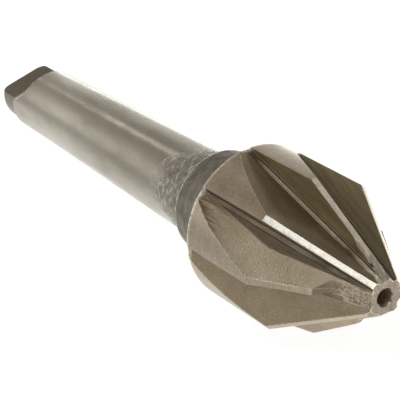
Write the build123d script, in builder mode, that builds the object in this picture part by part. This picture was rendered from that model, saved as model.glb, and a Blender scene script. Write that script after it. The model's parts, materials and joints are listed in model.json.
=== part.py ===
# A worn machine countersink in one piece of tool steel: an eight-tooth sixty-degree head, a rough
# neck and a taper shank that ends in a driving tang. It lies on its side, as it comes to rest.
import os
from math import atan2, cos, degrees, radians, sin, sqrt, tan

from build123d import *

# Millimetres and degrees. The tool is drawn upright: Z is its axis, pointing to the nose, and Z = 0 is
# the corner circle where the head's cylinder meets its cone. Angles run anticlockwise, seen from the nose.

# head
head_diameter = 31.5
point_angle = 60.0
nose_diameter = 7.8
head_length = 40.0
rim_chamfer = 0.35
centre_hole_diameter = 3.5
centre_hole_depth = 9.0
drill_point_angle = 118.0

# flutes: a straight V with a narrow flat floor that rises from the nose to almost nothing at the rim
tooth_count = 8
flute_depth_at_rim = 0.4
flute_depth_at_nose = 0.7
flute_floor_width = 0.7
flute_root_bevel = 0.4
flute_back_angle = 74.2

# neck and shank: a number 2 taper
neck_step = 1.8
neck_length = 12.0
neck_edge_radius = 0.8
gauge_diameter = 17.78
gauge_setback = 5.0
taper_on_diameter = 0.04995
shank_length = 80.0

# driving tang: its root is straight, and the tang itself is turned down a step
tang_root_length = 13.0
tang_length = 7.0
tang_step = 0.74
tang_corner_radius = 1.6
tang_thickness = 6.3
tang_flat_length = 6.2
tang_runout_radius = 6.0
tang_turn = 15.0

# damage, each length measured back from the nose: one tooth has lost its tip, three more are chipped
lost_tip_length = 9.5
lost_tip_run = 1.9
lost_tip_step = 2.65
lost_tip_wall = 1.0
lost_tip_front = 1.0
lost_tip_back = 3.2
worn_edge_length = 8.5
worn_edge_depth = 0.95
worn_edge_width = 0.45
worn_edge_lip = 0.2
short_tip_length = 7.6
short_tip_run = 2.0
short_tip_step = 1.0
nicked_corner_length = 1.2
nicked_corner_run = 0.5
nicked_corner_step = 0.5

# heights and radii that follow
head_radius = head_diameter / 2
nose_radius = nose_diameter / 2
cone_length = (head_radius - nose_radius) / tan(radians(point_angle / 2))
nose_z = cone_length
rim_z = nose_z - head_length
neck_back_z = rim_z - neck_length
tang_end_z = neck_back_z - shank_length
tang_root_z = tang_end_z + tang_root_length
tang_start_z = tang_end_z + tang_length
clearance = 2.0


def shank_radius(z):
    """Radius of the taper at a height."""
    return (gauge_diameter + taper_on_diameter * (z - neck_back_z + gauge_setback)) / 2


def cone_radius(z):
    """Radius of the head's cone at a height."""
    return nose_radius + (nose_z - z) * tan(radians(point_angle / 2))


# The flute floor is straight, from the rim to the nose.
floor_at_rim = head_radius - flute_depth_at_rim
floor_at_nose = nose_radius - flute_depth_at_nose
floor_slope = (floor_at_nose - floor_at_rim) / (nose_z - rim_z)


def flute_outline(z):
    """Corners of the flute's section at a height, with the cutting edge on the X axis."""
    floor = floor_at_rim + floor_slope * (z - rim_z)
    reach = head_radius + clearance
    back_x = floor + reach * cos(radians(flute_back_angle))
    back_y = flute_root_bevel + flute_floor_width + reach * sin(radians(flute_back_angle))
    return [
        (2 * reach, 0),
        (floor + flute_root_bevel, 0),
        (floor, flute_root_bevel),
        (floor, flute_root_bevel + flute_floor_width),
        (back_x, back_y),
        (2 * reach, back_y),
    ]


def notch_span():
    """Angle that a flute takes from the rim's widest circle, in degrees."""
    floor, start = flute_outline(rim_z + rim_chamfer)[3]
    along = floor * cos(radians(flute_back_angle)) + start * sin(radians(flute_back_angle))
    reach = sqrt(along**2 + head_radius**2 - floor**2 - start**2) - along
    heel_x = floor + reach * cos(radians(flute_back_angle))
    heel_y = start + reach * sin(radians(flute_back_angle))
    return degrees(atan2(heel_y, heel_x))


# The tool lies with one flute's notch in the rim over the floor, and its mark is at 180 degrees. The
# first tooth's cutting edge then stands just short of straight up.
tooth_step = 360 / tooth_count
first_tooth = -notch_span() / 2
tang_azimuth = first_tooth + tang_turn

neck_radius = shank_radius(neck_back_z) + neck_step
root_radius = shank_radius(tang_root_z)
tang_radius = root_radius - tang_step

# the turned blank, whose tang has a rounded end
with BuildPart() as blank:
    with BuildSketch(Plane.XZ):
        with BuildLine():
            corner_start = (tang_radius, tang_end_z + tang_corner_radius)
            corner_end = (tang_radius - tang_corner_radius, tang_end_z)
            TangentArc(corner_start, corner_end, tangent=(0, -1))
            Polyline(
                corner_end,
                (0, tang_end_z),
                (0, nose_z),
                (nose_radius, nose_z),
                (head_radius, 0),
                (head_radius, rim_z + rim_chamfer),
                (head_radius - rim_chamfer, rim_z),
                (neck_radius, rim_z),
                (neck_radius, neck_back_z),
                (shank_radius(neck_back_z), neck_back_z),
                (root_radius, tang_root_z),
                (root_radius, tang_start_z),
                (tang_radius, tang_start_z - tang_step),
                corner_start,
            )
        make_face()
    revolve(axis=Axis.Z)
    neck_edge = blank.edges().filter_by(GeomType.CIRCLE).filter_by(
        lambda e: abs(e.radius - neck_radius) < 0.01 and abs(e.center().Z - neck_back_z) < 0.01
    )
    fillet(neck_edge, neck_edge_radius)

# centre hole in the nose, with the cone that a drill leaves at its bottom
drill_point = centre_hole_diameter / 2 / tan(radians(drill_point_angle / 2))
with BuildPart() as centre_hole:
    with BuildSketch(Plane.XZ):
        with BuildLine():
            Polyline(
                (0, nose_z - centre_hole_depth - drill_point),
                (centre_hole_diameter / 2, nose_z - centre_hole_depth),
                (centre_hole_diameter / 2, nose_z + clearance),
                (0, nose_z + clearance),
                close=True,
            )
        make_face()
    revolve(axis=Axis.Z)

# what one flute takes out
with BuildPart() as flute:
    for z in (rim_z - clearance, nose_z + clearance):
        with BuildSketch(Plane.XY.offset(z)):
            with BuildLine():
                Polyline(*flute_outline(z), close=True)
            make_face()
    loft(ruled=True)

# what the cutter takes from one side of the tang, with its round run-out into the taper
with BuildPart() as tang_side:
    with BuildSketch(Plane.XZ):
        with BuildLine():
            flat_end = (tang_thickness / 2, tang_end_z + tang_flat_length)
            runout_end = (tang_thickness / 2 + tang_runout_radius, flat_end[1] + tang_runout_radius)
            Line((tang_thickness / 2, tang_end_z - clearance), flat_end)
            TangentArc(flat_end, runout_end, tangent=(0, 1))
            Polyline(
                runout_end,
                (runout_end[0], tang_end_z - clearance),
                (tang_thickness / 2, tang_end_z - clearance),
            )
        make_face()
    extrude(amount=gauge_diameter, both=True)


def broken_tip(length, run, step, floor_at_end):
    """Profile of a break that drops a step from the tooth's crest and then runs on to the nose."""
    start = nose_z - length
    end_z = nose_z + clearance
    knee = start + run
    return [
        (cone_radius(start), start),
        (cone_radius(knee) - step, knee),
        (floor_at_end, nose_z),
        (floor_at_end, end_z),
        (head_radius, end_z),
        (head_radius, start),
    ]


# the tooth whose tip has gone: the break leaves a thin wall round the centre hole, and it reaches from the
# flute's floor, in front of the tooth, to the next flute behind it
lost_tip_floor = centre_hole_diameter / 2 + lost_tip_wall
with BuildPart() as lost_tip:
    with BuildSketch(Plane.XZ.offset(-lost_tip_front)):
        with BuildLine():
            Polyline(*broken_tip(lost_tip_length, lost_tip_run, lost_tip_step, lost_tip_floor), close=True)
        make_face()
    extrude(amount=lost_tip_front + lost_tip_back)

# the tooth that is a little shorter
with BuildPart() as short_tip:
    with BuildSketch(Plane.XZ):
        with BuildLine():
            Polyline(*broken_tip(short_tip_length, short_tip_run, short_tip_step, floor_at_nose), close=True)
        make_face()
    extrude(amount=head_radius / 2, both=True)

# the tooth that has lost a crumb at the nose
nicked_radius = nose_radius - nicked_corner_step
nick = broken_tip(nicked_corner_length, nicked_corner_run, nicked_corner_step / 2, nicked_radius)
with BuildPart() as nicked_corner:
    with BuildSketch(Plane.XZ):
        with BuildLine():
            Polyline(*nick, close=True)
        make_face()
    extrude(amount=nose_radius / 2, both=True)

# the cutting edge that has crumbled away along its end: a three-sided bar laid along the edge
worn_edge_z = nose_z - worn_edge_length
edge_start = Vector(cone_radius(worn_edge_z), 0, worn_edge_z)
edge_end = Vector(nose_radius, 0, nose_z)
edge_line = edge_end - edge_start
with BuildPart() as worn_edge:
    with BuildSketch(Plane(origin=edge_start, x_dir=(0, 1, 0), z_dir=edge_line)):
        with BuildLine():
            Polyline(
                (clearance, worn_edge_depth),
                (0, worn_edge_depth),
                (-worn_edge_width, -worn_edge_lip),
                (-worn_edge_width, -clearance),
                (clearance, -clearance),
                close=True,
            )
        make_face()
    extrude(amount=edge_line.length + clearance)

# The tool, upright. Teeth are counted anticlockwise from the one at the top as it lies.
with BuildPart() as upright:
    add(blank.part)
    add(centre_hole.part, mode=Mode.SUBTRACT)
    with PolarLocations(0, tooth_count, start_angle=first_tooth):
        add(flute.part, mode=Mode.SUBTRACT)
    with PolarLocations(0, 2, start_angle=tang_azimuth):
        add(tang_side.part, mode=Mode.SUBTRACT)
    with Locations(Rotation(0, 0, first_tooth)):
        add(worn_edge.part, mode=Mode.SUBTRACT)
    with Locations(Rotation(0, 0, first_tooth + 2 * tooth_step)):
        add(lost_tip.part, mode=Mode.SUBTRACT)
    with Locations(Rotation(0, 0, first_tooth + 3 * tooth_step)):
        add(nicked_corner.part, mode=Mode.SUBTRACT)
    with Locations(Rotation(0, 0, first_tooth + 4 * tooth_step)):
        add(short_tip.part, mode=Mode.SUBTRACT)

# How it lies: on the two corners of the notch in the rim, and on the tang's root where the flats' cut begins.
rim_touch_z = rim_z + rim_chamfer
rim_touch_depth = head_radius * cos(radians(-first_tooth))
cut_rise = root_radius * cos(radians(tang_azimuth)) - tang_thickness / 2
cut_reach = sqrt(tang_runout_radius**2 - (tang_runout_radius - cut_rise) ** 2)
shank_touch_z = tang_end_z + tang_flat_length + cut_reach
rest_tilt = degrees(atan2(rim_touch_depth - root_radius, rim_touch_z - shank_touch_z))

# the nose points along +X and a little up, and angle 0 of the tool is its top
lying_plane = Plane(
    origin=(0, 0, 0),
    x_dir=(-sin(radians(rest_tilt)), 0, cos(radians(rest_tilt))),
    z_dir=(cos(radians(rest_tilt)), 0, sin(radians(rest_tilt))),
)
with BuildPart() as lying:
    with Locations(lying_plane.location):
        add(upright.part)

box = lying.part.bounding_box()
with BuildPart() as countersink_bit:
    with Locations((-box.center().X, -box.center().Y, -box.min.Z)):
        add(lying.part)

print("rest tilt", round(rest_tilt, 3), "first tooth", round(first_tooth, 3), "tang", round(tang_azimuth, 3))
print("axis origin", -box.center().X, -box.center().Y, -box.min.Z)

os.makedirs("parts", exist_ok=True)
countersink_bit.part.label = "countersink_bit"
export_step(countersink_bit.part, "parts/countersink_bit.step")
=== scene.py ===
# Looks of a worn eight-tooth countersink that lies on its side: its skin, finishes, light and camera.
import json
import math

import bmesh
import bpy
import numpy as np
from mathutils import Matrix, Quaternion, Vector

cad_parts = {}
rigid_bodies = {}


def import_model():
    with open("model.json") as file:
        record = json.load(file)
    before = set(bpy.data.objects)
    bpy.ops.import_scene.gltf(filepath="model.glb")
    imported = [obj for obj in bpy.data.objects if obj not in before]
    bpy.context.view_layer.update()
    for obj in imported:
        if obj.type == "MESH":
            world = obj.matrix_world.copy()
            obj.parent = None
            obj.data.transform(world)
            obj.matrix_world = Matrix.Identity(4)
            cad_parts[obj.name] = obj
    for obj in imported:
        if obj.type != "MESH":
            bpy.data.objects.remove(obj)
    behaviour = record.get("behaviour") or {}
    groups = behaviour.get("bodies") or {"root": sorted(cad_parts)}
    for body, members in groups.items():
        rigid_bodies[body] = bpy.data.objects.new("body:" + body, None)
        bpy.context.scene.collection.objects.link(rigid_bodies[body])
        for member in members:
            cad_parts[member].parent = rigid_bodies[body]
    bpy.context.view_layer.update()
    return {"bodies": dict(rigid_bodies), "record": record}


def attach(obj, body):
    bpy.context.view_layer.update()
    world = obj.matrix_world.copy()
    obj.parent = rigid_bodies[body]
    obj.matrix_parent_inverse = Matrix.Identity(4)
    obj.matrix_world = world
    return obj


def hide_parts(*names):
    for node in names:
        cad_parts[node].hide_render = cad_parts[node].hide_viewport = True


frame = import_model()
mm = 0.001
print("frame loaded")


# camera: the photograph's viewpoint, in metres and degrees, with its lens and sensor in millimetres
viewpoint = {
    "place": (0.26863, -0.15893, 0.20951), "aim": (0.01589, -0.00572, 0.018), "roll": -5.37,
    "lens": 163.4, "sensor": 36, "nearest": 0.01,
}


def setCamera():
    cameraData = bpy.data.cameras.new("camera")
    cameraData.lens = viewpoint["lens"]
    cameraData.sensor_width = viewpoint["sensor"]
    cameraData.clip_start = viewpoint["nearest"]
    camera = bpy.data.objects.new("camera", cameraData)
    bpy.context.scene.collection.objects.link(camera)
    place = Vector(viewpoint["place"])
    looking = (Vector(viewpoint["aim"]) - place).to_track_quat("-Z", "Y")
    camera.location = place
    camera.rotation_mode = "QUATERNION"
    camera.rotation_quaternion = looking @ Quaternion((0, 0, 1), math.radians(viewpoint["roll"]))
    bpy.context.scene.camera = camera


setCamera()
print("camera set")


# Sizes of the tool in millimetres and degrees. Heights run along its axis to the nose, and height 0 is
# where the head's cylinder meets its cone. Angles run anticlockwise seen from the nose, from its top.
head = {
    "diameter": 31.5, "pointAngle": 60.0, "noseDiameter": 7.8, "length": 40.0, "rimChamfer": 0.35,
    "holeDiameter": 3.5, "holeDepth": 9.0, "drillPoint": 1.05, "mouthRound": 0.12,
    "teeth": 8, "tangToTooth": 15.0, "depthAtRim": 0.4, "depthAtNose": 0.7,
    "floorWidth": 0.7, "rootBevel": 0.4, "backAngle": 74.2, "edgeFlat": 0.07, "heelLine": 0.2,
    "backBulge": (0.42, 0.08, 0.08, 0, 0, 0, 0, 0), "bulgeLength": 6.0, "bulgeShare": 0.8, "bulgeEnd": 5.0,
}
shank = {
    "neckStep": 1.8, "neckLength": 12.0, "neckRound": 0.8, "gauge": 17.78, "gaugeSetback": 5.0,
    "taper": 0.04995, "length": 80.0, "tangRoot": 13.0, "tangLength": 7.0, "tangStep": 0.74,
    "tangCorner": 1.6, "tangThickness": 6.3, "flatLength": 6.2, "runOut": 6.0, "flatFade": 0.6,
}
headRadius = head["diameter"] / 2
noseRadius = head["noseDiameter"] / 2
holeRadius = head["holeDiameter"] / 2
coneSlope = math.tan(math.radians(head["pointAngle"] / 2))
noseHeight = (headRadius - noseRadius) / coneSlope
rimHeight = noseHeight - head["length"]
holeBottom = noseHeight - head["holeDepth"]
backFoot = head["rootBevel"] + head["floorWidth"]
floorFall = (headRadius - head["depthAtRim"]) - (noseRadius - head["depthAtNose"])
neckBack = rimHeight - shank["neckLength"]
tangEnd = neckBack - shank["length"]
tangTop = tangEnd + shank["tangLength"]
toothStep = 360 / head["teeth"]
leastRadius = 0.1   # keeps divisions by a distance from the axis safe
bulgePeak = 4 / 27   # the most that u times (1 - u) squared reaches


def shankRadius(height):
    # half of the gauge diameter, and of the taper times the distance from the gauge
    return (shank["gauge"] + shank["taper"] * (height - neckBack + shank["gaugeSetback"])) / 2


neckRadius = shankRadius(neckBack) + shank["neckStep"]
rootRadius = shankRadius(tangEnd + shank["tangRoot"])
tangRadius = rootRadius - shank["tangStep"]

# where the tool lies: its axes and its origin, read from the mounts
mounts = {mount["name"]: mount for mount in frame["record"]["mounts"]}
alongAxis = -np.array(mounts["taper_shank"]["axis"], float)
sideAxis = np.array([0.0, -1.0, 0.0])
topAxis = np.cross(sideAxis, alongAxis)
toolAxes = np.column_stack([topAxis, sideAxis, alongAxis])
gaugeHeight = neckBack - shank["gaugeSetback"]
toolOrigin = np.array(mounts["taper_shank"]["pos_m"], float) - alongAxis * gaugeHeight * mm
tangNormal = np.array(mounts["tang_flat_upper"]["axis"], float)
tangAngle = math.degrees(math.atan2(tangNormal @ sideAxis, tangNormal @ topAxis))
firstTooth = tangAngle - head["tangToTooth"]

# How a lattice corner's three whole coordinates become a random number: large odd factors, shifts in
# bits, and a mask for the lowest sixteen. Each seed moves the lattice on by its shift.
mixing = {
    "corner": (374761393, 668265263, 1442695041), "factor": 1274126177, "firstShift": 13,
    "lastShift": 16, "mask": 65535, "seedShift": 17.3,
}


def grain(points, size, seed):
    # value noise from -1 to 1: random numbers on a lattice of that size, blended smoothly between corners
    lattice = points / size + seed * mixing["seedShift"]
    cell = np.floor(lattice).astype(np.int64)
    inCell = lattice - cell
    blend = inCell * inCell * (3 - 2 * inCell)
    total = np.zeros(points.shape[:-1])
    for corner in np.ndindex(2, 2, 2):
        mixed = (cell + np.array(corner)) @ np.array(mixing["corner"])
        mixed = (mixed ^ (mixed >> mixing["firstShift"])) * mixing["factor"]
        value = ((mixed ^ (mixed >> mixing["lastShift"])) & mixing["mask"]) / mixing["mask"]
        total += value * np.prod(np.where(corner, blend, 1 - blend), axis=-1)
    return total * 2 - 1


def roughness(points, size, seed):
    # three octaves of grain, each half the size and half the height of the one before
    second = grain(points, size / 2, seed + 1) / 2
    third = grain(points, size / 4, seed + 2) / 4
    return grain(points, size, seed) + second + third


def drawIn(points, share):
    # brings points nearer the tool's axis: their distance from it times the share, at the same height
    return points * np.stack([share, share, np.ones_like(share)], -1)


# columns of the skin round one tooth, as counts along each part of its outline
columns = {"rake": 4, "bevel": 2, "floor": 2, "back": 16, "land": 18}
perTooth = sum(columns.values())
around = perTooth * head["teeth"]
landStart = perTooth - columns["land"]
heelShare = 0.02   # of the land's angle, from the heel to its next column

# Rows of the skin, as counts along each part of the tool, with lengths in millimetres and shares where
# they aren't even. The hole's rows are close together near its mouth, the cone's near the nose, where the
# damage is, and the shank's where it is scorched.
rowsOf = {
    "hole": 6, "mouth": 5, "mouthFrom": 1.0, "mouthTo": 0.8, "nose": 8, "fine": 0.16, "fineLength": 9.6,
    "cone": 28, "barrel": 25, "backFace": (0.08, 1 / 3, 2 / 3, 1), "neck": 25, "neckRound": 5,
    "scorched": 31, "scorchedLength": 15, "taper": 19, "root": 19, "tang": 14, "tangCorner": 7,
    "tangEnd": (0.75, 0.5, 0.25, 0.02), "pole": 0.02, "tip": 0.98,
}


def steps(start, end, count):
    # evenly spaced values after the start, up to the end
    return np.linspace(start, end, count + 1)[1:]


def toothOutline(height, radius, backBulge):
    # One tooth's outline at each height, with the cutting edge on the first axis: down the rake face, over
    # the bevel and the flute's floor, up the straight back face to the heel, and round the land.
    floor = headRadius - head["depthAtRim"] - floorFall * (height - rimHeight) / head["length"]
    none = np.zeros_like(height)
    edge = np.stack([radius - head["edgeFlat"], none], -1)
    root = np.stack([np.minimum(floor + head["rootBevel"], radius - head["edgeFlat"]), none], -1)
    floorStart = np.stack([floor, none + head["rootBevel"]], -1)
    floorEnd = floorStart + (0, head["floorWidth"])
    back = np.array([math.cos(math.radians(head["backAngle"])), math.sin(math.radians(head["backAngle"]))])
    alongBack = floorEnd @ back
    reach = np.sqrt(alongBack**2 + radius**2 - (floorEnd**2).sum(-1)) - alongBack
    heel = floorEnd + reach[:, None] * back
    heelAngle = np.arctan2(heel[:, 1], heel[:, 0])

    def between(start, end, share):
        return start[:, None] + (end - start)[:, None] * share[..., None]

    def bulge(share):
        # A low swelling outwards from the back face: u times (1 - u) squared over its peak, where u is the
        # distance in from the heel over the length. It fades out in front of the cylinder.
        length = np.minimum(head["bulgeLength"], head["bulgeShare"] * reach)[:, None]
        onBarrel = np.clip(1 - height / head["bulgeEnd"], 0, 1)[:, None]
        inward = np.clip((1 - share) * reach[:, None] / length, 0, 1)
        swell = onBarrel * backBulge * length / head["bulgeLength"] * inward * (1 - inward) ** 2 / bulgePeak
        return swell[..., None] * np.array([back[1], -back[0]])

    even = {name: np.arange(count) / count for name, count in columns.items()}
    nearHeel = 1 - head["heelLine"] / reach[:, None]
    backShare = np.concatenate([even["back"][None, :-1] * nearHeel / even["back"][-1], nearHeel], 1)
    landEnd = math.radians(toothStep) - head["edgeFlat"] / radius
    evenLand = np.linspace(0, 1, columns["land"] - 1)
    landShare = np.concatenate([[0], heelShare + (1 - heelShare) * evenLand])
    landAngle = heelAngle[:, None] + (landEnd - heelAngle)[:, None] * landShare
    land = radius[:, None, None] * np.stack([np.cos(landAngle), np.sin(landAngle)], -1)
    outline = np.concatenate([
        between(edge, root, even["rake"][None]),
        between(root, floorStart, even["bevel"][None]),
        between(floorStart, floorEnd, even["floor"][None]),
        between(floorEnd, heel, backShare) + bulge(backShare),
        land,
    ], 1)
    distance = np.maximum(np.hypot(outline[..., 0], outline[..., 1]), leastRadius)
    return outline * np.minimum(1, radius[:, None] / distance)[..., None]


def raised(flat, height):
    # gives rows of flat points their heights
    return np.concatenate([flat, np.broadcast_to(height[:, None, None], (len(height), around, 1))], -1)


def headRows(height, radius):
    # the tooth's outline turned to each of the teeth, as points of shape (rows, columns, 3)
    outline = np.stack([toothOutline(height, radius, bulge) for bulge in head["backBulge"]], 1)
    turns = np.radians(firstTooth + toothStep * np.arange(head["teeth"]))
    x = outline[..., 0] * np.cos(turns)[:, None] - outline[..., 1] * np.sin(turns)[:, None]
    y = outline[..., 0] * np.sin(turns)[:, None] + outline[..., 1] * np.cos(turns)[:, None]
    return raised(np.stack([x, y], -1).reshape(len(height), around, 2), height)


def roundRows(height, radius):
    # circles of evenly spaced points
    angle = math.radians(firstTooth) + 2 * math.pi * np.arange(around) / around
    return raised(radius[:, None, None] * np.stack([np.cos(angle), np.sin(angle)], -1), height)


# Damage, in millimetres: lengths run back from the nose, and teeth are counted from the first one. Each
# break's profile drops by its step over its run, and then goes straight to its end radius at the nose. It
# reaches across from the cutting edge by its front, over the flute, and by its back, over the land.
breaks = {
    "lostTip": {"tooth": 2, "length": 9.5, "run": 1.9, "step": 2.65, "endRadius": 2.75,
                "front": 1.0, "back": 3.2, "rough": 0.14},
    "shortTip": {"tooth": 4, "length": 7.6, "run": 2.0, "step": 1.0, "endRadius": 3.2,
                 "front": 7.9, "back": 7.9, "rough": 0.16},
    "nickedCorner": {"tooth": 3, "length": 1.2, "run": 0.5, "step": 0.25, "endRadius": 3.4,
                     "front": 1.95, "back": 1.95, "rough": 0.08},
}
# broken faces: the size of their grain and how far in it leans, the depths over which the grain and the
# look set in, and the wall beside them that looks broken
breakFace = {"grain": 0.9, "lean": 0.5, "fade": 0.35, "border": 0.12, "wall": 0.15}
# the crumbled edge: its depth, its width and the lip that it leaves, how the land is worn near the nose,
# how ragged it is, and how rough and how broken its face looks
crumbled = {
    "tooth": 0, "length": 8.5, "depth": 0.95, "lip": 0.2, "width": 0.45, "rough": 0.045, "look": 0.7,
    "noseLength": 5.0, "noseDepth": 0.8, "start": 1.2, "ragged": 0.25, "raggedGrain": 0.9,
    "pastEdge": -0.5, "halfLand": 1.2, "grain": 0.5, "fade": 0.2, "border": 0.1,
}
# chips of the hole's mouth, with angles and widths in degrees, and one that is worn pale, painted bright as
# a highlight
mouthChips = [
    {"angle": -112, "width": 18, "depth": 0.42}, {"angle": -152, "width": 10, "depth": 0.34},
    {"angle": 118, "width": 10, "depth": 0.2}, {"angle": -75, "width": 12, "depth": 0.15},
]
mouthEdge = {"depth": 0.9, "rough": 0.04, "grain": 0.5, "core": 1.3, "paleAngle": -155, "paleWidth": 14}
# where the random numbers of each rough surface start
seeds = {"firstBreak": 3, "nextBreak": 7, "crumble": 91, "crumbleGrain": 96, "mouth": 61, "neck": 31,
         "scorch": 41}


def coneRadius(height):
    # the nose's radius, and the cone's slope times the distance back from the nose
    return noseRadius + (noseHeight - height) * coneSlope


def fromTooth(points, tooth):
    # distances outwards through a tooth's cutting edge, and across from it towards its flute
    turn = math.radians(firstTooth + tooth * toothStep)
    outwards = points[..., 0] * math.cos(turn) + points[..., 1] * math.sin(turn)
    return outwards, points[..., 1] * math.cos(turn) - points[..., 0] * math.sin(turn)


def breakAway(points, broken, seed):
    # Points outside the break's profile, measured along the direction of its middle, are drawn in towards
    # the axis until they lie on it. Grain roughens the new face, fading out at its border. The wall that
    # is left in front of it looks broken too.
    outwards, across = fromTooth(points, broken["tooth"])
    start = noseHeight - broken["length"]
    knee = start + broken["run"]
    heights = [start, knee, noseHeight]
    limits = [coneRadius(start), coneRadius(knee) - broken["step"], broken["endRadius"]]
    limit = np.interp(points[..., 2], heights, limits)
    beside = (points[..., 2] > start) & (outwards > 0) & (across > -broken["back"])
    over = np.where(beside & (across < broken["front"]), outwards - limit, 0)
    hit = over > 0
    moved = drawIn(points, np.where(hit, limit / np.maximum(outwards, leastRadius), 1))
    fade = np.clip(over / breakFace["fade"], 0, 1)
    dent = broken["rough"] * (roughness(moved, breakFace["grain"], seed) - breakFace["lean"]) * fade
    moved = drawIn(moved, np.where(hit, 1 + dent / np.maximum(limit, leastRadius), 1))
    looksBroken = beside & (across < broken["front"] + breakFace["wall"])
    return moved, np.where(looksBroken, np.clip((outwards - limit) / breakFace["border"], 0, 1), 0)


def crumbleEdge(points):
    # The cutting edge has crumbled to a rough slope: the depth taken grows from the land's side to the
    # rake, and at the nose the whole land is worn down.
    outwards, across = fromTooth(points, crumbled["tooth"])
    start = noseHeight - crumbled["length"]
    begun = np.clip((points[..., 2] - start) / crumbled["start"], 0, 1)
    ragged = across + crumbled["ragged"] * roughness(points, crumbled["raggedGrain"], seeds["crumble"])
    share = np.clip(1 + ragged / crumbled["width"], crumbled["pastEdge"], 1)
    depth = share * (crumbled["depth"] + crumbled["lip"]) - crumbled["lip"]
    nearNose = np.clip(1 - (noseHeight - points[..., 2]) / crumbled["noseLength"], 0, 1)
    depth = np.maximum(depth, crumbled["noseDepth"] * nearNose)
    limit = coneRadius(points[..., 2]) - begun * depth / math.cos(math.radians(head["pointAngle"] / 2))
    onTooth = (np.abs(across) < crumbled["halfLand"]) & (outwards > 0) & (points[..., 2] > start)
    over = np.where(onTooth, outwards - limit, 0)
    fade = np.clip(over / crumbled["fade"], 0, 1)
    target = limit + crumbled["rough"] * roughness(points, crumbled["grain"], seeds["crumbleGrain"]) * fade
    shrink = np.minimum(target, outwards) / np.maximum(outwards, leastRadius)
    moved = drawIn(points, np.where(over > 0, shrink, 1))
    return moved, crumbled["look"] * np.clip(over / crumbled["border"], 0, 1)


def chipMouth(points):
    # The hole's mouth is ragged: round each chip's angle the wall is moved by its depth, which falls off
    # with the angle past the chip's core and with the distance from the nose.
    angle = np.degrees(np.arctan2(points[..., 1], points[..., 0]))
    near = np.clip(1 - (noseHeight - points[..., 2]) / mouthEdge["depth"], 0, 1)
    shift = mouthEdge["rough"] * roughness(points, mouthEdge["grain"], seeds["mouth"])
    for chip in mouthChips:
        inChip = np.clip(mouthEdge["core"] - np.abs(angle - chip["angle"]) / chip["width"], 0, 1)
        shift = shift + chip["depth"] * inChip
    radius = np.maximum(np.hypot(points[..., 0], points[..., 1]), leastRadius)
    return drawIn(points, 1 - near * shift / radius)


# slots: the skin's finishes, in order
slots = {"flute": 0, "land": 1, "nose": 2, "neck": 3, "shank": 4, "hole": 5}


def headSkin():
    # Rows from the bottom of the centre hole, out over the nose, back along the cone and the cylinder, and
    # in over the head's back face, with each row's slot.
    mouth = head["mouthRound"]
    wall = np.concatenate([
        np.linspace(holeBottom, noseHeight - rowsOf["mouthFrom"], rowsOf["hole"]),
        np.linspace(noseHeight - rowsOf["mouthTo"], noseHeight - mouth, rowsOf["mouth"]),
    ])
    holeHeights = np.concatenate([[holeBottom - head["drillPoint"] * rowsOf["tip"]], wall])
    holeRadii = np.concatenate([[rowsOf["pole"] * holeRadius], np.full(len(wall), holeRadius)])
    hole = chipMouth(roundRows(holeHeights, holeRadii))
    noseEdge = headRows(np.array([noseHeight]), np.array([noseRadius]))
    mouthRing = chipMouth(roundRows(np.array([noseHeight]), np.array([holeRadius + mouth])))
    share = (np.arange(rowsOf["nose"]) / rowsOf["nose"])[:, None, None]
    noseFace = mouthRing * (1 - share) + noseEdge * share
    fine = np.arange(0, rowsOf["fineLength"], rowsOf["fine"])
    coarse = np.linspace(rowsOf["fineLength"], noseHeight, rowsOf["cone"])
    coneHeights = noseHeight - np.concatenate([fine, coarse])
    cone = headRows(coneHeights, coneRadius(coneHeights))
    barrelHeights = steps(0, rimHeight + head["rimChamfer"], rowsOf["barrel"])
    barrel = headRows(barrelHeights, np.full(len(barrelHeights), headRadius))
    rim = headRows(np.array([rimHeight]), np.array([headRadius - head["rimChamfer"]]))
    neckRing = roundRows(np.array([rimHeight]), np.array([neckRadius]))
    backFace = rim + (neckRing - rim) * np.array(rowsOf["backFace"])[:, None, None]
    rows = np.concatenate([hole, noseFace, cone, barrel, rim, backFace])
    counts = [len(hole), len(noseFace), len(cone) + len(barrel) + len(rim), len(backFace)]
    return rows, np.repeat([slots["hole"], slots["nose"], slots["flute"], slots["land"]], counts)


def shankSkin():
    # Rows from behind the head's back face along the neck, the taper and the tang to the tang's end, with
    # each row's slot.
    edge = neckBack + shank["neckRound"]
    turn = steps(0, math.pi / 2, rowsOf["neckRound"])
    edgeHeights = neckBack + shank["neckRound"] * (1 - np.sin(turn))
    neckHeights = np.concatenate([steps(rimHeight, edge, rowsOf["neck"]), edgeHeights])
    edgeRadii = neckRadius - shank["neckRound"] * (1 - np.cos(turn))
    neckRadii = np.concatenate([np.full(rowsOf["neck"], neckRadius), edgeRadii])
    scorchEnd = neckBack - rowsOf["scorchedLength"]
    rootHeight = tangEnd + shank["tangRoot"]
    scorched = np.linspace(neckBack, scorchEnd, rowsOf["scorched"])
    taperHeights = np.concatenate([scorched, steps(scorchEnd, rootHeight, rowsOf["taper"])])
    root = steps(rootHeight, tangTop, rowsOf["root"])
    tang = np.linspace(tangTop - shank["tangStep"], tangEnd + shank["tangCorner"], rowsOf["tang"])
    cornerTurn = steps(0, math.pi / 2, rowsOf["tangCorner"])
    cornerHeights = tangEnd + shank["tangCorner"] * (1 - np.sin(cornerTurn))
    cornerRadii = tangRadius - shank["tangCorner"] * (1 - np.cos(cornerTurn))
    closing = cornerRadii[-1] * np.array(rowsOf["tangEnd"])
    heights = np.concatenate([
        neckHeights, taperHeights, root, tang, cornerHeights, np.full(len(closing), tangEnd)])
    radii = np.concatenate([
        neckRadii, shankRadius(taperHeights), np.full(len(root), rootRadius),
        np.full(len(tang), tangRadius), cornerRadii, closing])
    counts = [len(neckHeights), len(heights) - len(neckHeights)]
    return roundRows(heights, radii), np.repeat([slots["neck"], slots["shank"]], counts)


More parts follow.
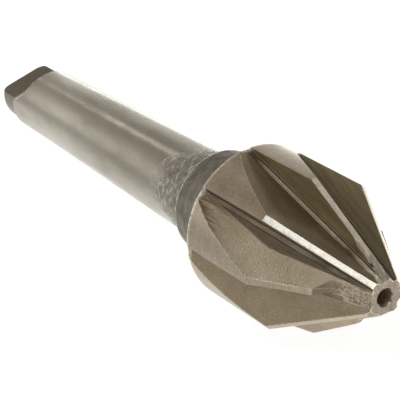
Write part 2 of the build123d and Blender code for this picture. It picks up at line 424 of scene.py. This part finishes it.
def millTang(points):
    # Both sides of the tang are cut flat, with a round run-out: a point beyond the cutter's profile is
    # drawn in to it. On the run-out the profile stands off from the flat by the radius less the root of
    # the radius squared less the rise squared.
    turn = math.radians(tangAngle)
    depth = points[..., :2] @ np.array([math.cos(turn), math.sin(turn)])
    flatEnd = tangEnd + shank["flatLength"]
    rise = np.clip(points[..., 2] - flatEnd, 0, shank["runOut"])
    limit = shank["tangThickness"] / 2 + shank["runOut"] - np.sqrt(shank["runOut"] ** 2 - rise**2)
    limit = np.where(points[..., 2] > flatEnd + shank["runOut"], headRadius, limit)
    cut = np.abs(depth) > limit
    onFlat = cut * np.clip(1 - rise / shank["flatFade"], 0, 1)
    return drawIn(points, np.where(cut, limit / np.maximum(np.abs(depth), leastRadius), 1)), onFlat


# The neck's grain is drawn out round the tool. The scorched patch behind it reaches further on one side.
neckGrain = {"drawn": (0.45, 0.45, 1.6), "size": 0.8, "depth": 0.05, "lean": 0.8, "clear": 0.05}
scorch = {"least": 4.5, "more": 6.5, "angle": 62, "spread": 0.75, "drawn": (0.5, 0.5, 0.25), "size": 1.6,
          "ragged": 2.2}


def roughenNeck(points, rowSlots):
    # The neck was left rough: its skin sinks by the depth times the grain less its lean.
    radius = np.hypot(points[..., 0], points[..., 1])
    isNeck = (rowSlots == slots["neck"])[:, None] & (points[..., 2] > neckBack + neckGrain["clear"])
    rough = roughness(points * neckGrain["drawn"], neckGrain["size"], seeds["neck"])
    sink = neckGrain["depth"] * (rough - neckGrain["lean"])
    return drawIn(points, np.where(isNeck, 1 + sink / np.maximum(radius, leastRadius), 1))


def scorchReach(points):
    # How far inside the dark patch behind the neck a point lies, in millimetres: the patch reaches furthest
    # on the side that shows, by a bell curve of the angle, and has a ragged border.
    angle = np.arctan2(points[..., 1], points[..., 0])
    aside = (angle - math.radians(scorch["angle"])) / scorch["spread"]
    reach = scorch["least"] + scorch["more"] * np.exp(-(aside**2))
    reach = reach + scorch["ragged"] * roughness(points * scorch["drawn"], scorch["size"], seeds["scorch"])
    return points[..., 2] - (neckBack - reach)


# Worn marks and painted highlights: one flute is stained near the rim, and each flute's floor is painted
# light by its own share, partly as rubbing and partly as its highlight. The worn band on the neck's back
# edge, painted bright as its highlight, has its place and reach as shares of the edge's round.
stain = {"tooth": 1, "start": -6.5, "fade": 9.0}
floorWearAndHighlightShares = (1.0, 0.45, 0.0, 0.2, 0.2, 0.2, 0.2, 0.6)
wearHighlightPlaces = {"heel": 0.6, "pastFoot": 0.5, "rimWidth": 1.0, "neckPlace": 0.55, "neckReach": 0.18}
meshing = {"merge": 2e-6, "degenerate": 1e-6, "sharp": 24}   # distances in metres, an angle in degrees


def columnMarks():
    # For all columns: the worn heels, which are painted bright as their highlight, and lane, which is how
    # far a column lies in front of the cutting edge's plane, in millimetres, up to the foot of the back
    # face.
    wearHighlight = np.zeros(perTooth)
    wearHighlight[landStart] = wearHighlightPlaces["heel"]
    lane = np.full(perTooth, backFoot + wearHighlightPlaces["pastFoot"])
    floorStart = columns["rake"] + columns["bevel"]
    lane[:floorStart] = 0
    lane[columns["rake"]:floorStart + 1] = np.linspace(0, head["rootBevel"], columns["bevel"] + 1)
    floor = head["rootBevel"] + np.linspace(0, head["floorWidth"], columns["floor"] + 1)
    lane[floorStart:floorStart + len(floor)] = floor
    return np.tile(wearHighlight, head["teeth"]), np.tile(lane, head["teeth"])


def wearHighlightAt(points, rowSlots, columnWearHighlight):
    # the worn edges of every point, painted bright as their highlight: along the heels, round the rim, the
    # nose and the neck's back edge, and at one chip of the hole's mouth
    height = points[..., 2]
    radius = np.hypot(points[..., 0], points[..., 1])
    angle = np.degrees(np.arctan2(points[..., 1], points[..., 0]))
    row = np.arange(len(points))[:, None]
    mouthRow = np.count_nonzero(rowSlots == slots["hole"])
    noseRow = mouthRow + np.count_nonzero(rowSlots == slots["nose"])
    wearHighlight = np.where(np.isin(rowSlots, [slots["flute"], slots["land"]])[:, None], columnWearHighlight, 0)
    fromRim = np.abs(height - rimHeight - head["rimChamfer"] / 2)
    isRim = (fromRim < head["rimChamfer"]) & (radius > headRadius - wearHighlightPlaces["rimWidth"])
    fromNeckEdge = np.abs((height - neckBack) / shank["neckRound"] - wearHighlightPlaces["neckPlace"])
    isPaleChip = (row == mouthRow) & (np.abs(angle - mouthEdge["paleAngle"]) < mouthEdge["paleWidth"])
    isWornAndLit = isRim | (row == noseRow) | (fromNeckEdge < wearHighlightPlaces["neckReach"]) | isPaleChip
    return np.where(isWornAndLit, 1.0, wearHighlight)


def buildTool(finishes):
    # The whole skin: the head's and the shank's rows with their damage, as one closed mesh, where each
    # point carries the marks that its finishes read.
    headPoints, headSlots = headSkin()
    shankPoints, shankSlots = shankSkin()
    chip = np.zeros(headPoints.shape[:2])
    for number, broken in enumerate(breaks.values()):
        seed = seeds["firstBreak"] + seeds["nextBreak"] * number
        headPoints, mask = breakAway(headPoints, broken, seed)
        chip = np.maximum(chip, mask)
    headPoints, mask = crumbleEdge(headPoints)
    chip = np.maximum(chip, mask)
    shankPoints, milled = millTang(roughenNeck(shankPoints, shankSlots))

    points = np.concatenate([headPoints, shankPoints])
    rowSlots = np.concatenate([headSlots, shankSlots])
    rows = len(points)
    columnWearHighlight, lane = columnMarks()
    tooth = np.arange(around) // perTooth
    towardsRim = np.clip((stain["start"] - points[..., 2]) / stain["fade"], 0, 1)
    marks = {
        "chip": np.concatenate([chip, np.zeros(shankPoints.shape[:2])]),
        "wearHighlight": wearHighlightAt(points, rowSlots, columnWearHighlight),
        "lane": np.broadcast_to(lane, points.shape[:2]),
        "milled": np.concatenate([np.zeros(headPoints.shape[:2]), milled]),
        "scorch": scorchReach(points),
        "stained": (tooth == stain["tooth"]) * towardsRim,
        "floorWearAndHighlight": np.broadcast_to(np.array(floorWearAndHighlightShares)[tooth], points.shape[:2]),
    }

    isLand = np.arange(around) % perTooth >= landStart
    faceSlots = np.repeat(rowSlots[1:, None], around, 1)
    faceSlots = np.where((faceSlots == slots["flute"]) & isLand, slots["land"], faceSlots)

    # quads between neighbouring rows and columns, and a fan at each end
    index = np.arange(rows * around).reshape(rows, around)
    beside = np.roll(index, -1, 1)
    quads = np.stack([index[:-1], index[1:], beside[1:], beside[:-1]], -1).reshape(-1, 4)
    flat = points.reshape(-1, 3)
    poles = np.array([[0, 0, holeBottom - head["drillPoint"]], [0, 0, tangEnd]])
    bottomFan = np.stack([np.full(around, len(flat)), index[0], beside[0]], -1)
    endFan = np.stack([np.full(around, len(flat) + 1), beside[-1], index[-1]], -1)
    placed = toolOrigin + np.concatenate([flat, poles]) @ toolAxes.T * mm

    mesh = bpy.data.meshes.new("countersinkSkin")
    mesh.from_pydata(placed.tolist(), [], quads.tolist() + bottomFan.tolist() + endFan.tolist())
    for finish in finishes:
        mesh.materials.append(finish)
    fanSlots = np.repeat([slots["hole"], slots["shank"]], around)
    indices = np.concatenate([faceSlots.ravel(), fanSlots]).astype(np.int32)
    mesh.polygons.foreach_set("material_index", indices)
    for name, values in marks.items():
        layer = mesh.attributes.new(name, "FLOAT", "POINT")
        everyPoint = np.concatenate([values.ravel(), values[0, :1], values[-1, :1]])
        layer.data.foreach_set("value", everyPoint.astype(np.float32))

    shell = bmesh.new()
    shell.from_mesh(mesh)
    bmesh.ops.remove_doubles(shell, verts=shell.verts, dist=meshing["merge"])
    bmesh.ops.dissolve_degenerate(shell, edges=shell.edges, dist=meshing["degenerate"])
    bmesh.ops.recalc_face_normals(shell, faces=shell.faces)
    shell.to_mesh(mesh)
    shell.free()
    mesh.polygons.foreach_set("use_smooth", np.ones(len(mesh.polygons), bool))
    mesh.set_sharp_from_angle(angle=math.radians(meshing["sharp"]))

    tool = bpy.data.objects.new("countersink", mesh)
    bpy.context.scene.collection.objects.link(tool)
    return tool


# nodes: short ways to add one, with its sockets given by name or number, as values or as links


def feed(tree, socket, value):
    # links the socket to another one, or sets its value, where a colour of three numbers is opaque
    if isinstance(value, bpy.types.NodeSocket):
        tree.links.new(value, socket)
    elif socket.type == "RGBA" and len(value) == 3:
        socket.default_value = (*value, 1)
    else:
        socket.default_value = value


def addNode(tree, kind, inputs, **settings):
    made = tree.nodes.new("ShaderNode" + kind)
    for name, value in settings.items():
        setattr(made, name, value)
    for name, value in inputs.items():
        feed(tree, made.inputs[name], value)
    return made


def toolSpace(tree):
    # Object coordinates turned to the tool's own axes, in metres: the third one runs along the tool
    place = addNode(tree, "TexCoord", {}).outputs["Object"]
    turned = tuple(Matrix(toolAxes.tolist()).to_euler())
    inputs = {"Vector": place, "Location": tuple(toolOrigin), "Rotation": turned}
    return addNode(tree, "Mapping", inputs, vector_type="TEXTURE").outputs["Vector"]


def coordinates(tree, vector):
    # a vector's three numbers, by name
    return addNode(tree, "SeparateXYZ", {"Vector": vector}).outputs


def noise(tree, vector, scale, detail, rough, drawn=None):
    # noise from 0 to 1, on coordinates that may be scaled along each axis first, which draws it out
    if drawn:
        vector = addNode(tree, "Mapping", {"Vector": vector, "Scale": drawn}).outputs["Vector"]
    inputs = {"Vector": vector, "Scale": scale, "Detail": detail, "Roughness": rough}
    return addNode(tree, "TexNoise", inputs).outputs["Fac"]


def ramp(tree, value, low, high, start=0.0, end=1.0):
    # a value from low to high becomes start to end, and stays inside them
    inputs = {"Value": value, "From Min": low, "From Max": high, "To Min": start, "To Max": end}
    return addNode(tree, "MapRange", inputs).outputs["Result"]


def attribute(tree, name):
    return addNode(tree, "Attribute", {}, attribute_name=name).outputs["Fac"]


def maths(tree, operation, first, second):
    return addNode(tree, "Math", {0: first, 1: second}, operation=operation).outputs[0]


# a Mix node's sockets for colours, which share their names with others
mixSockets = {"first": 6, "second": 7, "result": 2}


def blendColours(tree, share, first, second, kind="MIX"):
    # the first colour, with that share of the second one
    inputs = {"Factor": share, mixSockets["first"]: first, mixSockets["second"]: second}
    made = addNode(tree, "Mix", inputs, data_type="RGBA", blend_type=kind)
    return made.outputs[mixSockets["result"]]


def scaled(tree, colour, amount):
    # a colour made lighter or darker by a factor
    return blendColours(tree, 1.0, colour, amount, "MULTIPLY")


def newFinish(name, metallic=1.0):
    # a new material, with its nodes and the coordinates that they read
    finish = bpy.data.materials.new(name)
    finish.use_nodes = True
    tree = finish.node_tree
    tree.nodes["Principled BSDF"].inputs["Metallic"].default_value = metallic
    return finish, tree, toolSpace(tree)


def dress(tree, colour, rough, height, depth):
    # gives a finish its colour and roughness, and bumps it by the height times the depth
    bump = addNode(tree, "Bump", {"Height": height, "Distance": depth * mm, "Strength": 1.0})
    surface = tree.nodes["Principled BSDF"].inputs
    feed(tree, surface["Base Color"], colour)
    feed(tree, surface["Roughness"], rough)
    feed(tree, surface["Normal"], bump.outputs["Normal"])


# Finishes. A grain is a noise's scale, detail and roughness, and its factors on the three axes where it is
# drawn out. A ramp is the range of a value, and what its ends become where that isn't 0 and 1. A depth is
# that of the relief, in millimetres.
# the bright colour of worn edges, painted as their highlight, also used for dust and for the painted
# highlight on the lips of breaks
wearHighlightLook = {
    "bright": (0.85, 0.79, 0.68), "dots": (1700.0, 3.0, 0.7), "dotsRamp": (0.36, 0.52),
}
breakLook = {
    "light": (0.49, 0.415, 0.32), "dark": (0.155, 0.123, 0.09), "scoop": (0.22, 0.175, 0.12),
    "speck": (2800.0, 3.0, 0.7), "speckRamp": (0.36, 0.58),
    "scoopRamp": (0.0122, 0.0145),   # heights in metres
}


def roughBreak(tree, space, colour):
    # mixes the colours of a fracture into a finish where the skin is broken: a browner scoop away from the
    # nose, light and dark specks beside it, and a painted highlight on the lip along the border
    speck = ramp(tree, noise(tree, space, *breakLook["speck"]), *breakLook["speckRamp"])
    grey = blendColours(tree, speck, breakLook["dark"], breakLook["light"])
    nearNose = ramp(tree, coordinates(tree, space)["Z"], *breakLook["scoopRamp"])
    grey = blendColours(tree, nearNose, breakLook["scoop"], grey)
    chip = attribute(tree, "chip")
    colour = blendColours(tree, chip, colour, grey)
    # painted highlight: a bright line on the lip along the break's border
    lip = maths(tree, "MULTIPLY", chip, maths(tree, "SUBTRACT", 1.0, chip))
    return blendColours(tree, lip, colour, wearHighlightLook["bright"])


def highlightWornEdges(tree, space, colour, share):
    # paints a highlight on a finish along its worn edges, in dots and dashes
    dots = ramp(tree, noise(tree, space, *wearHighlightLook["dots"]), *wearHighlightLook["dotsRamp"])
    worn = maths(tree, "MULTIPLY", maths(tree, "MULTIPLY", attribute(tree, "wearHighlight"), dots), share)
    return blendColours(tree, worn, colour, wearHighlightLook["bright"])


def dressTeeth(tree, space, colour, bumps, look):
    # dresses a face of the teeth, which is rough where it is broken and carries a painted highlight along
    # its worn edges
    colour = roughBreak(tree, space, colour)
    colour = highlightWornEdges(tree, space, colour, look["wearHighlight"])
    chip = attribute(tree, "chip")
    height = maths(tree, "MULTIPLY", bumps, ramp(tree, chip, *look["depthRamp"]))
    dress(tree, colour, ramp(tree, chip, *look["roughRamp"]), height, look["depth"])


# the flutes: their rake, floor and back faces, with painted shade as dark lines in the creases between them
# and a floor painted light as its highlight, at distances along the lane
fluteLook = {
    "back": (0.325, 0.262, 0.182), "backDark": (0.26, 0.208, 0.14), "rake": (0.245, 0.205, 0.12),
    # floor: the flute floors' colour, light as a painted highlight on rubbed steel
    "rakeLine": (0.32, 0.275, 0.185), "floor": (0.70, 0.60, 0.47), "floorDull": (0.24, 0.2, 0.15),
    # root: painted shade in the creases, on the bevel under the rake and along the back face's foot
    "floorDark": (0.15, 0.12, 0.085), "root": (0.075, 0.055, 0.035), "stain": (0.13, 0.085, 0.045),
    "cloud": (150.0, 4.0, 0.6), "cloudRamp": (0.35, 0.65),
    "speck": (4200.0, 2.0, 0.6), "backSpeck": (0.3, 0.7, 0.78, 1.2), "floorSpeck": (0.3, 0.7, 0.75, 1.2),
    "dust": (2600.0, 0.0, 0.55), "dustRamp": (0.82, 0.86, 0.0, 0.5),
    "streak": (1700.0, 3.0, 0.6, (1.0, 0.04, 1.0)), "rakeStreak": (0.42, 0.68), "floorStreak": (0.38, 0.52),
    "fine": (3600.0, 3.0, 0.65, (1.0, 0.05, 1.0)), "stainFine": (0.34, 0.56), "floorFine": (0.4, 0.6),
    "rakeToRootShade": (0.02, 0.14), "floorStart": 0.26, "footShadeWidth": 0.04, "backStart": (0.1, 0.25),
    "apart": 0.1, "floorStain": 0.6, "wearHighlight": 0.8, "roughRamp": (0.0, 1.0, 0.44, 0.6),
    "streakDepth": 0.2, "depthRamp": (0.0, 1.0, 0.5, 1.0), "depth": 0.14,
}


def flutePath(tree, space):
    # Coordinates that follow the flutes: the first is a distance out from their floor's slope, the second
    # the height, and the third tells the teeth apart. Distance out = radius + height * the floor's slope.
    place = coordinates(tree, space)
    flat = addNode(tree, "CombineXYZ", {"X": place["X"], "Y": place["Y"]}).outputs[0]
    radius = addNode(tree, "VectorMath", {0: flat}, operation="LENGTH").outputs["Value"]
    out = maths(tree, "ADD", radius, maths(tree, "MULTIPLY", place["Z"], floorFall / head["length"]))
    apart = maths(tree, "MULTIPLY", place["X"], fluteLook["apart"])
    return addNode(tree, "CombineXYZ", {"X": out, "Y": place["Z"], "Z": apart}).outputs[0]


def fluteFinish():
    # three kinds of face, told apart by the lane: a streaked rake, a floor painted light as rubbing and as
    # its highlight, and a cloudy brown back, with painted shade in the creases between them
    finish, tree, space = newFinish("fluteSteel")
    look = fluteLook
    path = flutePath(tree, space)
    cloud = noise(tree, space, *look["cloud"])
    speck = noise(tree, space, *look["speck"])
    streak = noise(tree, path, *look["streak"])
    fine = noise(tree, path, *look["fine"])

    back = blendColours(tree, ramp(tree, cloud, *look["cloudRamp"]), look["back"], look["backDark"])
    back = scaled(tree, back, ramp(tree, speck, *look["backSpeck"]))
    dust = ramp(tree, noise(tree, space, *look["dust"]), *look["dustRamp"])
    back = blendColours(tree, dust, back, wearHighlightLook["bright"])
    stained = maths(tree, "MULTIPLY", attribute(tree, "stained"), ramp(tree, fine, *look["stainFine"]))
    back = blendColours(tree, stained, back, look["stain"])

    rake = blendColours(tree, ramp(tree, streak, *look["rakeStreak"]), look["rake"], look["rakeLine"])
    floor = blendColours(tree, ramp(tree, streak, *look["floorStreak"]), look["floorDark"], look["floor"])
    dull = blendColours(tree, ramp(tree, fine, *look["floorFine"]), look["floorDark"], look["floorDull"])
    # painted highlight: each flute's floor is painted light by its own share, partly as rubbing
    floor = blendColours(tree, attribute(tree, "floorWearAndHighlight"), dull, floor)
    floor = scaled(tree, floor, ramp(tree, speck, *look["floorSpeck"]))
    floor = blendColours(tree, maths(tree, "MULTIPLY", stained, look["floorStain"]), floor, look["stain"])

    lane = attribute(tree, "lane")
    backStart, backFull = look["backStart"]
    # painted shade: past the rake, the bevel turns dark as the shade in the crease
    colour = blendColours(tree, ramp(tree, lane, *look["rakeToRootShade"]), rake, look["root"])
    colour = blendColours(tree, ramp(tree, lane, look["floorStart"], head["rootBevel"]), colour, floor)
    # painted shade: a dark line along the foot of the back face
    footShade = ramp(tree, lane, backFoot, backFoot + look["footShadeWidth"])
    colour = blendColours(tree, footShade, colour, look["root"])
    isBack = ramp(tree, lane, backFoot + backStart, backFoot + backFull)
    colour = blendColours(tree, isBack, colour, back)
    bumps = maths(tree, "ADD", maths(tree, "MULTIPLY", streak, look["streakDepth"]), speck)
    dressTeeth(tree, space, colour, bumps, look)
    return finish


landLook = {
    "light": (0.41, 0.35, 0.275), "dark": (0.33, 0.275, 0.21),
    "cloud": (260.0, 4.0, 0.6), "cloudRamp": (0.35, 0.7),
    "speck": (2800.0, 2.0, 0.6), "speckRamp": (0.3, 0.7, 0.82, 1.15),
    "lines": (420.0, 3.0, 0.6, (1.0, 1.0, 10.0)), "linesRamp": (0.3, 0.7, 0.9, 1.1),
    "wearHighlight": 1.0, "roughRamp": (0.0, 1.0, 0.33, 0.6), "depthRamp": (0.0, 1.0, 0.18, 1.0), "depth": 0.14,
}


def landFinish():
    # ground steel with clouds, specks and faint lines round the tool
    finish, tree, space = newFinish("landSteel")
    look = landLook
    cloud = noise(tree, space, *look["cloud"])
    speck = noise(tree, space, *look["speck"])
    lines = noise(tree, space, *look["lines"])
    colour = blendColours(tree, ramp(tree, cloud, *look["cloudRamp"]), look["light"], look["dark"])
    colour = scaled(tree, colour, ramp(tree, lines, *look["linesRamp"]))
    colour = scaled(tree, colour, ramp(tree, speck, *look["speckRamp"]))
    dressTeeth(tree, space, colour, speck, look)
    return finish


noseLook = {
    "light": (0.285, 0.245, 0.195), "dark": (0.21, 0.18, 0.142),
    "cloud": (700.0, 4.0, 0.65), "cloudRamp": (0.35, 0.65),
    "speck": (3000.0, 2.0, 0.6), "speckRamp": (0.3, 0.7, 0.8, 1.2),
    "wearHighlight": 0.55, "rough": 0.5, "depth": 0.12,
}


def noseFinish():
    # a dull pitted face
    finish, tree, space = newFinish("noseSteel")
    look = noseLook
    cloud = noise(tree, space, *look["cloud"])
    speck = noise(tree, space, *look["speck"])
    colour = blendColours(tree, ramp(tree, cloud, *look["cloudRamp"]), look["dark"], look["light"])
    colour = scaled(tree, colour, ramp(tree, speck, *look["speckRamp"]))
    colour = highlightWornEdges(tree, space, colour, look["wearHighlight"])
    dress(tree, colour, look["rough"], maths(tree, "ADD", speck, cloud), look["depth"])
    return finish


holeLook = {
    "dark": (0.3, 0.22, 0.13), "light": (0.66, 0.56, 0.4),
    "rings": (1400.0, 3.0, 0.6, (0.4, 0.4, 2.5)), "ringsRamp": (0.45, 0.7), "rough": 0.7, "depth": 0.1,
}


def holeFinish():
    # the centre hole is dull with dirt, in faint rings
    finish, tree, space = newFinish("holeDirt", metallic=0.0)
    rings = noise(tree, space, *holeLook["rings"])
    share = ramp(tree, rings, *holeLook["ringsRamp"])
    colour = blendColours(tree, share, holeLook["dark"], holeLook["light"])
    dress(tree, colour, holeLook["rough"], rings, holeLook["depth"])
    return finish


# the scale on the neck, and on the scorched patch of the shank behind it
scaleLook = {
    "dark": (0.155, 0.138, 0.112), "mid": (0.25, 0.23, 0.192), "streak": (0.66, 0.63, 0.57),
    "cloud": (420.0, 4.0, 0.6, (0.7, 0.7, 1.6)), "cloudRamp": (0.38, 0.64),
    "streaks": (700.0, 4.0, 0.7, (1.0, 1.0, 2.2)), "flecksRamp": (0.54, 0.68, 0.0),
    "wide": (160.0, 2.0, 0.5), "wideRamp": (0.4, 0.62, 0.25, 1.0),
}
neckLook = {"flecks": 0.35, "wearHighlight": 0.75, "rough": 0.46, "depth": 0.1}


def scalePattern(tree, space, fleckShare):
    # dark scale with soft blotches, and lighter flecks drawn out round the tool where a wide cloud lets them
    cloud = noise(tree, space, *scaleLook["cloud"])
    streaks = noise(tree, space, *scaleLook["streaks"])
    wide = noise(tree, space, *scaleLook["wide"])
    share = ramp(tree, cloud, *scaleLook["cloudRamp"])
    colour = blendColours(tree, share, scaleLook["dark"], scaleLook["mid"])
    flecks = ramp(tree, streaks, *scaleLook["flecksRamp"], fleckShare)
    flecks = maths(tree, "MULTIPLY", flecks, ramp(tree, wide, *scaleLook["wideRamp"]))
    return blendColours(tree, flecks, colour, scaleLook["streak"]), streaks


def neckFinish():
    # scale with a painted highlight along the neck's worn back edge
    finish, tree, space = newFinish("neckSteel")
    colour, streaks = scalePattern(tree, space, neckLook["flecks"])
    colour = highlightWornEdges(tree, space, colour, neckLook["wearHighlight"])
    dress(tree, colour, neckLook["rough"], streaks, neckLook["depth"])
    return finish


shankLook = {
    "ground": (0.38, 0.36, 0.31), "worn": (0.27, 0.24, 0.195), "flat": (0.125, 0.105, 0.072),
    "tang": (0.155, 0.143, 0.118), "tangBorder": 0.3, "pit": (0.08, 0.07, 0.054),
    "cloud": (110.0, 4.0, 0.6, (1.0, 1.0, 0.35)), "cloudRamp": (0.38, 0.68),
    "lines": (500.0, 3.0, 0.6, (0.6, 0.6, 18.0)), "linesDepth": 0.04,
    "flecks": 0.9, "raggedRamp": (0.3, 0.7, -2.4, 2.4), "scorchRamp": (-0.7, 0.7, 0.0, 0.62),
    "streaksRamp": (0.5, 0.62, 0.0, 0.75), "pits": (520.0, 3.0, 0.6), "pitsRamp": (0.36, 0.45, 0.8, 0.0),
    "roughRamp": (0.38, 0.66, 0.2, 0.32), "scorchRough": 0.3, "scorchDepth": 0.8, "depth": 0.14,
}


def shankFinish():
    # ground steel that is darker on the tang and its flats, under scale where the shank is scorched
    finish, tree, space = newFinish("shankSteel")
    look = shankLook
    cloud = noise(tree, space, *look["cloud"])
    lines = noise(tree, space, *look["lines"])
    ground = blendColours(tree, ramp(tree, cloud, *look["cloudRamp"]), look["ground"], look["worn"])
    height = coordinates(tree, space)["Z"]
    isTang = ramp(tree, height, tangTop * mm, (tangTop - look["tangBorder"]) * mm)
    ground = blendColours(tree, isTang, ground, look["tang"])
    ground = blendColours(tree, attribute(tree, "milled"), ground, look["flat"])

    scale, streaks = scalePattern(tree, space, look["flecks"])
    scale = blendColours(tree, ramp(tree, streaks, *look["streaksRamp"]), scale, scaleLook["streak"])
    pits = ramp(tree, noise(tree, space, *look["pits"]), *look["pitsRamp"])
    scale = blendColours(tree, pits, scale, look["pit"])
    ragged = maths(tree, "ADD", attribute(tree, "scorch"), ramp(tree, streaks, *look["raggedRamp"]))
    scorched = ramp(tree, ragged, *look["scorchRamp"])
    colour = blendColours(tree, scorched, ground, scale)

    shine = ramp(tree, cloud, *look["roughRamp"])
    rough = maths(tree, "ADD", shine, maths(tree, "MULTIPLY", scorched, look["scorchRough"]))
    dents = maths(tree, "MULTIPLY", maths(tree, "MULTIPLY", streaks, scorched), look["scorchDepth"])
    bumps = maths(tree, "ADD", maths(tree, "MULTIPLY", lines, look["linesDepth"]), dents)
    dress(tree, colour, rough, bumps, look["depth"])
    return finish


# the finishes, in the order of the skin's slots
finishes = [fluteFinish(), landFinish(), noseFinish(), neckFinish(), shankFinish(), holeFinish()]
print("finishes made:", len(finishes))
tool = buildTool(finishes)
bodyName = next(iter(frame["bodies"]))
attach(tool, bodyName)
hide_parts("countersink_bit")
print("tool made:", len(tool.data.polygons), "faces")


# Stage: a white floor, and a room that darkens upwards. The pairs are where a level changes: across the
# floor in metres, and in the room as shares of a direction.
stage = {
    "floorSize": 3.0, "floorColour": (0.8, 0.8, 0.8), "floorPale": (0.25, 0.25, 0.25), "floorSeen": 0.93,
    "floorGloss": (1.0, 0.985, 0.95), "nearGloss": 1.6, "farGloss": 4.2, "beyondGloss": 0.8,
    "leftGloss": 0.75, "near": (-0.045, -0.02), "left": (0.03, 0.08), "far": (0.035, 0.07),
    "beyond": (0.08, 0.15), "roomLow": (1.18, 1.16, 1.1), "roomWarm": (1.0, 0.88, 0.76),
    "farRoom": 0.85, "farSide": (-0.1, 0.5), "darkSide": 0.14, "lightSide": 0.5,
    "lightFrom": (-0.95, -0.31, 0.0), "duskSide": (0.2, 0.95), "lift": 0.19, "liftSide": (0.1, 0.6),
    "horizon": 0.04, "dusk": 0.27,
}


def makeFloor():
    # To the camera the floor glows almost white and only keeps the tool's shadow. Gloss sees it glow a
    # little warm, brighter under the tool and most on the far side.
    mesh = bpy.data.meshes.new("floor")
    reach = stage["floorSize"] / 2
    corners = [(-reach, -reach, 0), (reach, -reach, 0), (reach, reach, 0), (-reach, reach, 0)]
    mesh.from_pydata(corners, [], [(0, 1, 2, 3)])
    floor = bpy.data.objects.new("floor", mesh)
    bpy.context.scene.collection.objects.link(floor)
    finish = bpy.data.materials.new("floorPaper")
    finish.use_nodes = True
    tree = finish.node_tree
    tree.nodes.clear()
    rays = addNode(tree, "LightPath", {}).outputs
    place = coordinates(tree, addNode(tree, "TexCoord", {}).outputs["Object"])
    near = ramp(tree, place["Y"], *stage["near"], 1.0, stage["nearGloss"])
    left = ramp(tree, place["X"], *stage["left"], stage["leftGloss"], 1.0)
    far = ramp(tree, place["Y"], *stage["far"], 0.0, stage["farGloss"] - stage["nearGloss"])
    beyond = ramp(tree, place["Y"], *stage["beyond"], 1.0, stage["beyondGloss"] / stage["farGloss"])
    level = maths(tree, "ADD", maths(tree, "MULTIPLY", near, left), far)
    level = maths(tree, "MULTIPLY", level, beyond)
    paper = addNode(tree, "BsdfDiffuse", {"Color": stage["floorColour"]})
    gloss = addNode(tree, "Emission", {"Color": stage["floorGloss"], "Strength": level})
    pale = addNode(tree, "BsdfDiffuse", {"Color": stage["floorPale"]})
    glow = addNode(tree, "Emission", {"Strength": stage["floorSeen"]})
    bright = addNode(tree, "AddShader", {0: pale.outputs[0], 1: glow.outputs[0]})
    shiny = maths(tree, "MAXIMUM", rays["Is Glossy Ray"], rays["Is Transmission Ray"])
    glossed = addNode(tree, "MixShader", {0: shiny, 1: paper.outputs[0], 2: gloss.outputs[0]})
    isSeen = rays["Is Camera Ray"]
    seen = addNode(tree, "MixShader", {0: isSeen, 1: glossed.outputs[0], 2: bright.outputs[0]})
    addNode(tree, "OutputMaterial", {"Surface": seen.outputs[0]})
    mesh.materials.append(finish)


def makeRoom():
    # white up to the horizon, then falling to a warm dusk that is lighter behind the tool's left, where
    # the horizon lies higher too
    world = bpy.data.worlds.new("room")
    bpy.context.scene.world = world
    world.use_nodes = True
    tree = world.node_tree
    tree.nodes.clear()
    direction = addNode(tree, "TexCoord", {}).outputs["Generated"]
    place = coordinates(tree, direction)
    inputs = {0: direction, 1: stage["lightFrom"]}
    side = addNode(tree, "VectorMath", inputs, operation="DOT_PRODUCT").outputs["Value"]
    dusk = ramp(tree, side, *stage["duskSide"], stage["darkSide"], stage["lightSide"])
    high = scaled(tree, stage["roomWarm"], dusk)
    low = scaled(tree, stage["roomLow"], ramp(tree, place["Y"], *stage["farSide"], 1.0, stage["farRoom"]))
    lift = ramp(tree, side, *stage["liftSide"], 0.0, stage["lift"])
    lowered = maths(tree, "SUBTRACT", place["Z"], lift)
    colour = blendColours(tree, ramp(tree, lowered, stage["horizon"], stage["dusk"]), low, high)
    sky = addNode(tree, "Background", {"Color": colour, "Strength": 1.0})
    addNode(tree, "OutputWorld", {"Surface": sky.outputs[0]})


# lamps: a small overhead key and soft cards, aimed at a point in the head, in metres, degrees and watts
coolTint = (0.92, 0.97, 1.0)
lamps = {
    "key": {"azimuth": -84, "elevation": 81, "distance": 0.8, "size": (0.05, 0.05), "power": 2.2,
            "tint": coolTint},
    "frontCard": {"azimuth": -66, "elevation": 56, "distance": 0.6, "size": (0.14, 0.14), "power": 0.62,
                  "tint": (0.83, 0.97, 1.14)},
    "farCard": {"azimuth": 97, "elevation": 49, "distance": 0.6, "size": (0.2, 0.2), "power": 0.25,
                "tint": coolTint},
    "streakStrip": {"azimuth": 177, "elevation": 27.5, "distance": 0.6, "size": (0.08, 0.04),
                    "power": 0.027, "tint": coolTint},
}
lampTarget = Vector((0.04, 0.0, 0.018))


def makeLamp(name, lamp):
    # an area light at that distance from the target: azimuth runs anticlockwise from the frame's first axis
    azimuth = math.radians(lamp["azimuth"])
    elevation = math.radians(lamp["elevation"])
    flat = math.cos(elevation)
    direction = Vector((math.cos(azimuth) * flat, math.sin(azimuth) * flat, math.sin(elevation)))
    light = bpy.data.lights.new(name, "AREA")
    light.shape = "RECTANGLE"
    light.size, light.size_y = lamp["size"]
    light.energy = lamp["power"]
    light.color = lamp["tint"]
    made = bpy.data.objects.new(name, light)
    made.location = lampTarget + direction * lamp["distance"]
    made.rotation_mode = "QUATERNION"
    made.rotation_quaternion = direction.to_track_quat("Z", "Y")
    bpy.context.scene.collection.objects.link(made)


makeFloor()
makeRoom()
for name, lamp in lamps.items():
    makeLamp(name, lamp)
bpy.context.scene.view_settings.view_transform = "Standard"
print("stage lit")
